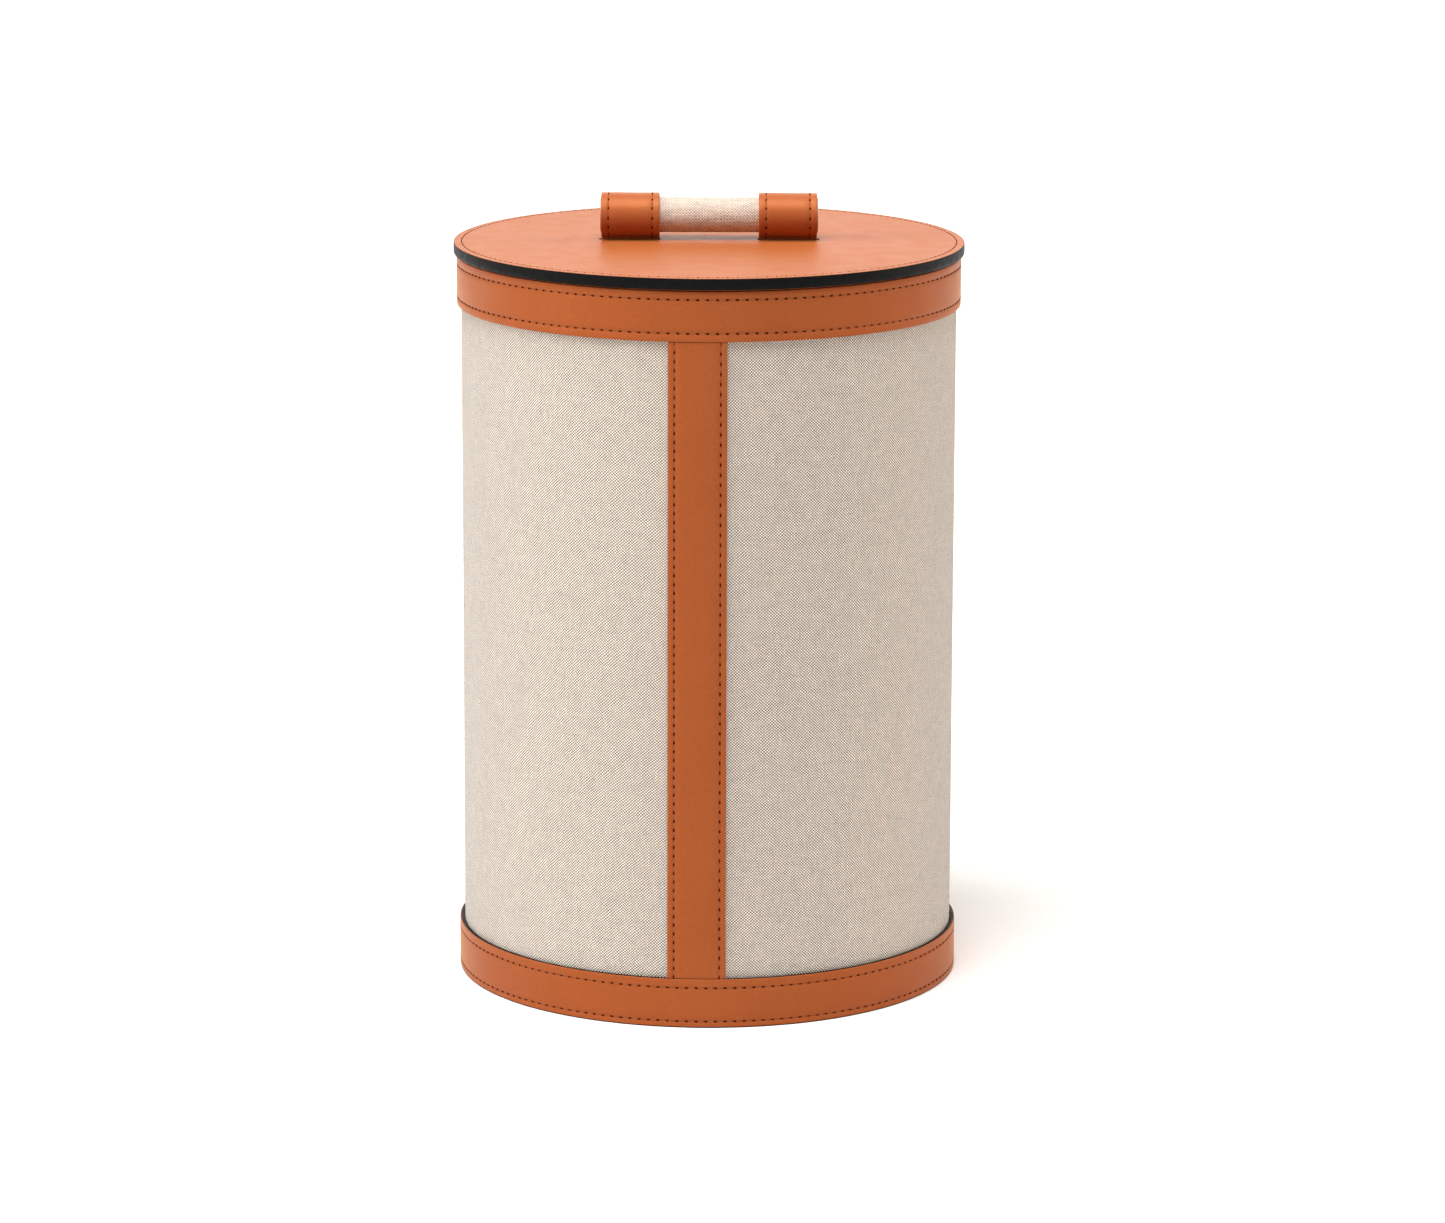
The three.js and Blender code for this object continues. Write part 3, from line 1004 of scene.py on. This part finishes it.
def makeBand(name, settings):
    ring = ringOf(settings["node"])
    bottom = ring["low"] - settings["drop"]
    width = ring["high"] - bottom - settings["trim"]
    thickness = ring["outer"] - ring["inner"] + settings["proud"]
    section = stripSection(width, thickness, settings["rounding"], settings["rows"],
                           bandGroove, settings["paint"])
    along = turnFromBack(bandJoint / ring["outer"], bandSteps)
    place = ringPlace(ring["inner"], bottom, settings)
    piece = sweep(name, section, along, place, [tanLeather, edgePaint], False)
    dress(piece, "bin", "leather", settings["node"])
    roundRows(name, ring["inner"] + thickness - bandGroove[1], bottom, settings)


makeBand("topBand", topBand)
makeBand("bottomBand", bottomBand)
print("bands made")

frontStrap = {
    "rows": (3.2 * mm, -3.1 * mm),  # from its left edge, and from its right
    "rowClear": 0.6 * mm,
    "pitches": (4.4 * mm, 4.9 * mm),
    "rounding": 0.4 * mm,
    "wave": (0.08 * mm, 60 * mm),
    "seed": 41,
}


def rowsAcross(width, settings):
    return [row if row > 0 else width + row for row in settings["rows"]]


def strapPlace(start, radius, settings):
    # a strip that stands up the drum: along is a height, across an arc length, height goes outwards
    def place(along, across, height):
        r = radius + height + ripple(along, across, settings) * (height > 0)
        return onDrum(r, start + across / radius, along)
    return place


def makeStrap(settings):
    points = nodePoints("front_strap")
    radii = np.hypot(points[:, 0], points[:, 1])
    inner, outer = radii.min(), radii.max()
    bearings = np.arctan2(points[:, 0], -points[:, 1]) - strapBearing
    low, high = points[:, 2].min(), points[:, 2].max()
    width = (bearings.max() - bearings.min()) * inner
    rows = rowsAcross(width, settings)
    section = stripSection(width, outer - inner, settings["rounding"], rows, bandGroove)
    start = strapBearing - width / inner / 2
    along = np.concatenate([[low, low + 0.15 * mm], np.arange(low + 2 * mm, high - 1 * mm, 3 * mm),
                            [high - 0.15 * mm, high]])
    place = strapPlace(start, inner, settings)
    piece = sweep("frontStrap", section, along, place, [tanLeather, edgePaint], False)
    dress(piece, "bin", "leather", "front_strap")
    made = []
    for number, (row, pitch) in enumerate(zip(rows, settings["pitches"])):
        bearing = start + row / inner
        out = np.array((math.sin(bearing), -math.cos(bearing), 0.0))
        heights = np.linspace(low + settings["rowClear"], high - settings["rowClear"], 60)
        path = out * (outer - bandGroove[1]) + np.outer(heights, (0, 0, 1))
        normals = np.tile(out, (len(heights), 1))
        seed = settings["seed"] + 2 * number
        made.append(stitchRow("strapRow", path, normals, False, pitch, seed))
    joinRows("frontStrap", made, "bin")


makeStrap(frontStrap)
print("strap made")


# the rim: leather facing inside, and paint over the cut edges of all the layers
rimFacing = {
    "rows": (3.2 * mm, 26.4 * mm),
    "pitch": 4.8 * mm,
    "rounding": 0.35 * mm,
    "groove": (0.45 * mm, 0.22 * mm),
    "paint": (0, 1),
    "joint": 0.001,  # half the gap at the back, in radians
    "trim": 0.25 * mm,
    "wave": (0.06 * mm, 90 * mm),
    "seed": 51,
}
rimPaint = {
    "thickness": 0.36 * mm,
    "clear": 0.06 * mm,
    "inset": (0.5 * mm, 0.2 * mm),  # from the outer and the inner side
    "turned": (0.14, 0.75),  # share of its width that turns down, and how far
    "radius": 120 * mm,  # only for the wave
    "wave": (0.03 * mm, 20 * mm),
    "seed": 55,
}


def makeRim(facing, paint):
    ring = ringOf("rim_facing")
    width = ring["high"] - ring["low"] - facing["trim"]
    section = stripSection(width, ring["outer"] - ring["inner"], facing["rounding"], facing["rows"],
                           facing["groove"], facing["paint"])
    along = turnFromBack(facing["joint"])
    place = ringPlace(ring["outer"], ring["low"], facing, side=-1)
    piece = sweep("rimFacing", section, along, place, [tanLeather, edgePaint], False)
    dress(piece, "bin", "leather", "rim_facing")
    roundRows("rimFacing", ring["inner"] + facing["groove"][1], ring["low"], facing, inwards=True)
    outer, inner = ringOf("top_band")["outer"] - paint["inset"][0], ring["inner"] + paint["inset"][1]
    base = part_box("lid_under_leather")[0].z - paint["clear"] - paint["thickness"]
    turned, fall = paint["turned"]
    crown = []
    for step in np.linspace(0, 1, 15):
        # flat over the layers, with its two edges turned down
        share = max(0.0, abs(step - 0.5) * 2 - (1 - turned)) / turned
        crown.append((step * (outer - inner), paint["thickness"] * (1 - fall * share ** 2)))

    def rimPlace(bearing, across, height):
        uneven = ripple(bearing * paint["radius"], across, paint) * (height > 0)
        return onDrum(inner + across, bearing, base + height - abs(uneven))

    piece = sweep("rimPaint", plainSection(crown), fullTurn(), rimPlace, [edgePaint], True)
    dress(piece, "bin", "edge_paint")


makeRim(rimFacing, rimPaint)
print("rim made")


# cotton inside the drum and on its floor
wallLining = {"trim": 0.3 * mm, "joint": 0.0005, "wave": (0.12 * mm, 90 * mm), "seed": 61}


def lineWall(settings):
    ring = ringOf("wall_lining")
    width = ring["high"] - ring["low"] - settings["trim"]
    section = clothSection(width, ring["outer"] - ring["inner"])
    along = turnFromBack(settings["joint"])
    place = ringPlace(ring["outer"], ring["low"], settings, side=-1)
    clothAt = lambda bearing, across: ((bearing - along[0]) * ring["inner"], across)
    piece = sweep("wallLining", section, along, place, [cottonLining], False, clothAt)
    dress(piece, "bin", "lining", "wall_lining")


def wholeDisc(name, node, settings, body, slot, material):
    ring = ringOf(node)
    whole = {**settings, "radius": ring["outer"], "low": ring["low"], "high": ring["high"]}
    return dress(discSheet(name, whole, [material]), body, slot, node), ring["outer"]


def clothDisc(name, node, settings, body):
    piece, radius = wholeDisc(name, node, settings, body, "lining", cottonLining)


floorLining = {"rounding": 0.25 * mm, "wave": (0.15 * mm, 110 * mm), "seed": 63}
baseCover = {"rounding": 0.45 * mm}

lineWall(wallLining)
clothDisc("floorLining", "base_lining", floorLining, "bin")
wholeDisc("baseCover", "base_cover", baseCover, "bin", "leather", tanLeather)
print("linings and base made")


# the lid: leather over board over leather, cut flush, with its edge painted
lidLeather = {
    "rounding": 0.3 * mm,
    "rowInset": 4.0 * mm,
    "pitch": 4.8 * mm,
    "groove": (0.42 * mm, 0.16 * mm),
    "pressedAndShade": 0.4,  # a light press, which darkens the leather less and paints less shade into its groove
    "grid": 5 * mm,
    "steps": 360,
    "stitch": 0.6,  # size of its stitches
    "sunk": 0.1 * mm,
    "wave": (0.16 * mm, 110 * mm),
    "seed": 81,
}
lidCore = {"inset": 1.5 * mm, "rounding": 0.2 * mm, "grid": 12 * mm}
lidUnder = {"inset": 1.3 * mm, "rounding": 0.35 * mm, "grid": 12 * mm}
lidPaint = {
    "wall": 1.6 * mm,
    "turned": 0.9 * mm,
    "cover": 0.15 * mm,
    "clear": (0.1 * mm, 0.25 * mm),  # from the lid's top and its underside
    "rounding": 0.18 * mm,
    "bulge": 0.12 * mm,
    "steps": 480,
    "radius": 130 * mm,  # only for the wave
    "wave": (0.04 * mm, 18 * mm),
    "seed": 83,
}


def slotsIn(node):
    # the slots of a lid piece, read from the corners it has away from its rim
    points = nodePoints(node)
    inside = points[np.hypot(points[:, 0], points[:, 1]) < 0.9 * ringOf(node)["outer"]]
    found = []
    for side in (inside[inside[:, 0] < 0], inside[inside[:, 0] > 0]):
        found.append((side[:, 0].min(), side[:, 0].max(), side[:, 1].min(), side[:, 1].max()))
    return found


def lidLayer(name, node, settings, material, slot):
    ring = ringOf(node)
    radius = lidRadius - settings["inset"]
    whole = {**settings, "radius": radius, "low": ring["low"], "high": ring["high"]}
    dress(discSheet(name, whole, [material], slotsIn(node)), "lid", slot, node)


def makeLid(settings, paint):
    row = lidRadius - settings["rowInset"]
    leather = {**settings, "inset": paint["cover"], "row": row}
    lidLayer("lidLeather", "lid_top_leather", leather, tanLeather, "leather")
    stitches = roundRow("lidRow", row, lidTop - settings["sunk"], settings["pitch"], settings["seed"],
                        upwards=True, size=settings["stitch"])
    joinRows("lidLeather", [stitches], "lid")
    lidLayer("lidCore", "lid_board", lidCore, fibreboard, "board")
    lidLayer("lidUnderLeather", "lid_under_leather", lidUnder, tanLeather, "leather")
    low, high = ringOf("lid_under_leather")["low"] + paint["clear"][1], lidTop - paint["clear"][0]
    soft, wall, turned = paint["rounding"], paint["wall"], paint["turned"]
    edge = arc((high - soft, wall - soft), soft, 0, 90, 7)
    for step in np.linspace(0.15, 0.85, 5):
        bow = paint["bulge"] * math.sin(math.pi * step)
        edge.append((high - soft - step * (high - low - 2 * soft), wall + bow))
    edge += arc((low + turned, wall - turned), turned, 90, 180, 7)

    def edgePlace(bearing, across, height):
        outside = height > wall - soft
        uneven = ripple(bearing * paint["radius"], across, paint) * outside
        return onDrum(lidRadius - wall + height - abs(uneven), bearing, across)

    along = fullTurn(paint["steps"])
    piece = sweep("lidEdge", plainSection(edge), along, edgePlace, [edgePaint], True)
    dress(piece, "lid", "edge_paint")


makeLid(lidLeather, lidPaint)
print("lid made")


# the plug under the lid, which keeps it in place in the mouth
plugBand = {"rounding": 0.35 * mm, "wave": (0.05 * mm, 90 * mm), "seed": 91}
plugLining = {"rounding": 0.25 * mm}


def makePlug(settings):
    ring = ringOf("plug_band")
    width = ring["high"] - ring["low"]
    section = stripSection(width, ring["outer"] - ring["inner"], settings["rounding"])
    place = ringPlace(ring["inner"], ring["low"], settings)
    piece = sweep("plugBand", section, fullTurn(), place, [tanLeather, edgePaint], True)
    dress(piece, "lid", "leather", "plug_band")


makePlug(plugBand)
clothDisc("plugLining", "plug_lining", plugLining, "lid")
print("plug made")


# the handle: a dowel in a linen sleeve, held to the lid by two leather loops
handleRod = {
    "woodRounding": 0.6 * mm,
    "sleeveRounding": 0.28 * mm,
    "joint": 0.006,
    "steps": 96,
    "wave": (0.05 * mm, 20 * mm),
    "seed": 101,
}


def onRod(x, radius, angle):
    # angles run round from straight down
    return x, rod["y"] + radius * np.sin(angle), rod["z"] - radius * np.cos(angle)


def makeRod(settings):
    wood, sleeve = rodRingOf("handle_dowel"), rodRingOf("handle_linen")
    soft, steps = settings["woodRounding"], settings["steps"]
    profile = arc((wood["low"] + soft, wood["outer"] - soft), soft, 180, 90, 6)
    profile += [(wood["low"] + soft + f * (wood["high"] - wood["low"] - 2 * soft), wood["outer"])
                for f in np.linspace(0.02, 0.98, 12)]
    profile += [(wood["low"] + wood["high"] - x, r) for x, r in profile[5::-1]]
    halfway = 0.5 * wood["outer"]
    profile = [(wood["low"], halfway)] + profile + [(wood["high"], halfway)]
    shell = bmesh.new()
    turns = np.arange(steps) * (2 * math.pi / steps)
    rings = [[shell.verts.new(onRod(x, r, turn)) for turn in turns] for x, r in profile]
    for first, second in zip(rings, rings[1:]):
        bridge(shell, first, second)
    for ring, x in ((rings[0], wood["low"]), (rings[-1], wood["high"])):
        centre = shell.verts.new((x, rod["y"], rod["z"]))
        for i in range(steps):
            shell.faces.new((ring[i], ring[(i + 1) % steps], centre))
    dress(finishShell("dowel", shell, [beech]), "lid", "dowel", "handle_dowel")
    thickness = sleeve["outer"] - sleeve["inner"]
    soft = settings["sleeveRounding"]
    section = arc((sleeve["low"] + soft, thickness - soft), soft, 180, 90, 4)
    ends = sleeve["low"] + 1 * mm, sleeve["high"] - 1 * mm
    section += [(x, thickness) for x in np.linspace(*ends, 60)]
    section += [(sleeve["low"] + sleeve["high"] - x, h) for x, h in section[3::-1]]
    start = settings["joint"]
    along = start + np.linspace(0, 2 * math.pi - 2 * start, steps + 1)
    clothAt = lambda angle, across: (across, (angle - start) * sleeve["outer"])

    def sleevePlace(angle, across, height):
        uneven = ripple(angle * sleeve["inner"], across, settings) * (height > 0)
        return onRod(across, sleeve["inner"] + height + uneven, angle)

    section = plainSection(section)
    piece = sweep("handleLinen", section, along, sleevePlace, [handleLinen], False, clothAt)
    dress(piece, "lid", "linen", "handle_linen")


makeRod(handleRod)

loopSettings = {
    "thickness": 1.2 * mm,
    "neck": 1.75 * mm,
    "neckBend": 1.0 * mm,
    "tailBend": 0.9 * mm,
    "rows": (3.7 * mm, -3.6 * mm),
    "rowClear": 0.9 * mm,
    "pitch": 5.0 * mm,
    "stitch": 0.85,
    "rounding": 0.42 * mm,
    "groove": (0.45 * mm, 0.22 * mm),
    "bulge": (0.3 * mm, 6 * mm),  # how far the outer edge swells, over what height
    "wave": (0.05 * mm, 30 * mm),
    "seed": 111,
}
loopBacking = {
    **loopSettings,
    "thickness": 0.8 * mm,
    "rows": (),
    "rounding": 0.25 * mm,
    "bulge": (0.18 * mm, 6 * mm),
}


def keyhole(radius, neck, neckBend, tailLevel, tailBend=0.0, tailReach=0.0):
    # the middle line of a strap that goes up through the lid, round the rod and down again.
    # Half of it is drawn, in y from the rod's axis and z, and the other half mirrors it.
    half = []
    if tailReach:
        half += [(y, tailLevel) for y in np.linspace(tailReach, neck + tailBend, 8)[:-1]]
        half += arc((neck + tailBend, tailLevel + tailBend), tailBend, -90, -180, 7)
    else:
        half.append((neck, tailLevel))
    bendY = neck + neckBend
    bendZ = rod["z"] - math.sqrt((radius + neckBend) ** 2 - bendY ** 2)
    foot = half[-1][1]
    half += [(neck, z) for z in np.linspace(foot, bendZ, 8)[1:-1]]
    lean = math.degrees(math.atan2(bendY, rod["z"] - bendZ))
    half += arc((bendY, bendZ), neckBend, 180, 90 + lean, 8)
    half += arc((0, rod["z"]), radius, lean - 90, 90, 42)[1:]
    other = [(-y, z) for y, z in half[::-1][1:]]
    return np.array(half + other)


def sidesOf(path):
    # the outward side of each point of the path, away from the rod
    ahead = np.gradient(path, axis=0)
    ahead /= np.linalg.norm(ahead, axis=1)[:, None]
    return np.stack([ahead[:, 1], -ahead[:, 0]], -1)


def lengthsOf(path):
    return np.concatenate([[0], np.cumsum(np.linalg.norm(np.diff(path, axis=0), axis=1))])


def loopStrap(name, node, side, settings, path):
    # the strap's own width runs along the rod; its outer edge swells a little at mid height
    low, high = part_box(node)
    width, thickness = high.x - low.x, settings["thickness"]
    outward, lengths = sidesOf(path), lengthsOf(path)
    rows = rowsAcross(width, settings)
    section = stripSection(width, thickness, settings["rounding"], rows, settings["groove"])
    bulge, bulgeHeight = settings["bulge"]
    swell = bulge * np.exp(-((path[:, 1] - rod["z"]) / bulgeHeight) ** 2)

    def place(along, across, height):
        index = np.searchsorted(lengths, along - 1e-9)
        off = height - thickness / 2 + ripple(along, across, settings) * (height > 0)
        outer = np.clip((across / width - 0.5) * 2 * side, 0, 1) ** 3
        x = low.x + across + side * swell[index] * outer
        y, z = (path[index, axis] + outward[index, axis] * off for axis in (0, 1))
        return x, rod["y"] + y, z

    piece = sweep(name, section, lengths, place, [loopLeather, edgePaint], False)
    dress(piece, "lid", "leather", node)
    above = path[:, 1] > lidTop + settings["rowClear"]
    still = np.zeros(above.sum())
    out = np.stack([still, *outward[above].T], -1)
    made = []
    for number, row in enumerate(rows):
        line = np.stack(place(lengths[above], still + row, still), -1)
        line += out * (thickness - settings["groove"][1])
        seed = settings["seed"] + 3 * number
        made.append(stitchRow(name + "Row", line, out, False, settings["pitch"], seed,
                              settings["stitch"]))
    if made:
        joinRows(name, made, "lid")


def makeLoops(settings, backing):
    # both radii come from how high each strap stands
    low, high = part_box("loop_left")
    liningLow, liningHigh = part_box("loop_left_lining")
    half, backingHalf = settings["thickness"] / 2, backing["thickness"] / 2
    outerPath = keyhole(high.z - rod["z"] - half, settings["neck"], settings["neckBend"],
                        low.z + half, settings["tailBend"], high.y - rod["y"])
    step = (high.z - liningHigh.z) - half + backingHalf
    innerPath = keyhole(liningHigh.z - rod["z"] - backingHalf, settings["neck"] - step,
                        settings["neckBend"] + step, liningLow.z)
    for side, word in ((-1, "left"), (1, "right")):
        node = "loop_" + word
        loopStrap(word + "Loop", node, side, settings, outerPath)
        loopStrap(word + "LoopBacking", node + "_lining", side, backing, innerPath)


makeLoops(loopSettings, loopBacking)
print("handle made")

# hidden boards keep their own shape
for name in ("wall_board", "base_board", "plug_board"):
    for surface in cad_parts[name].material_slots:
        surface.material = fibreboard
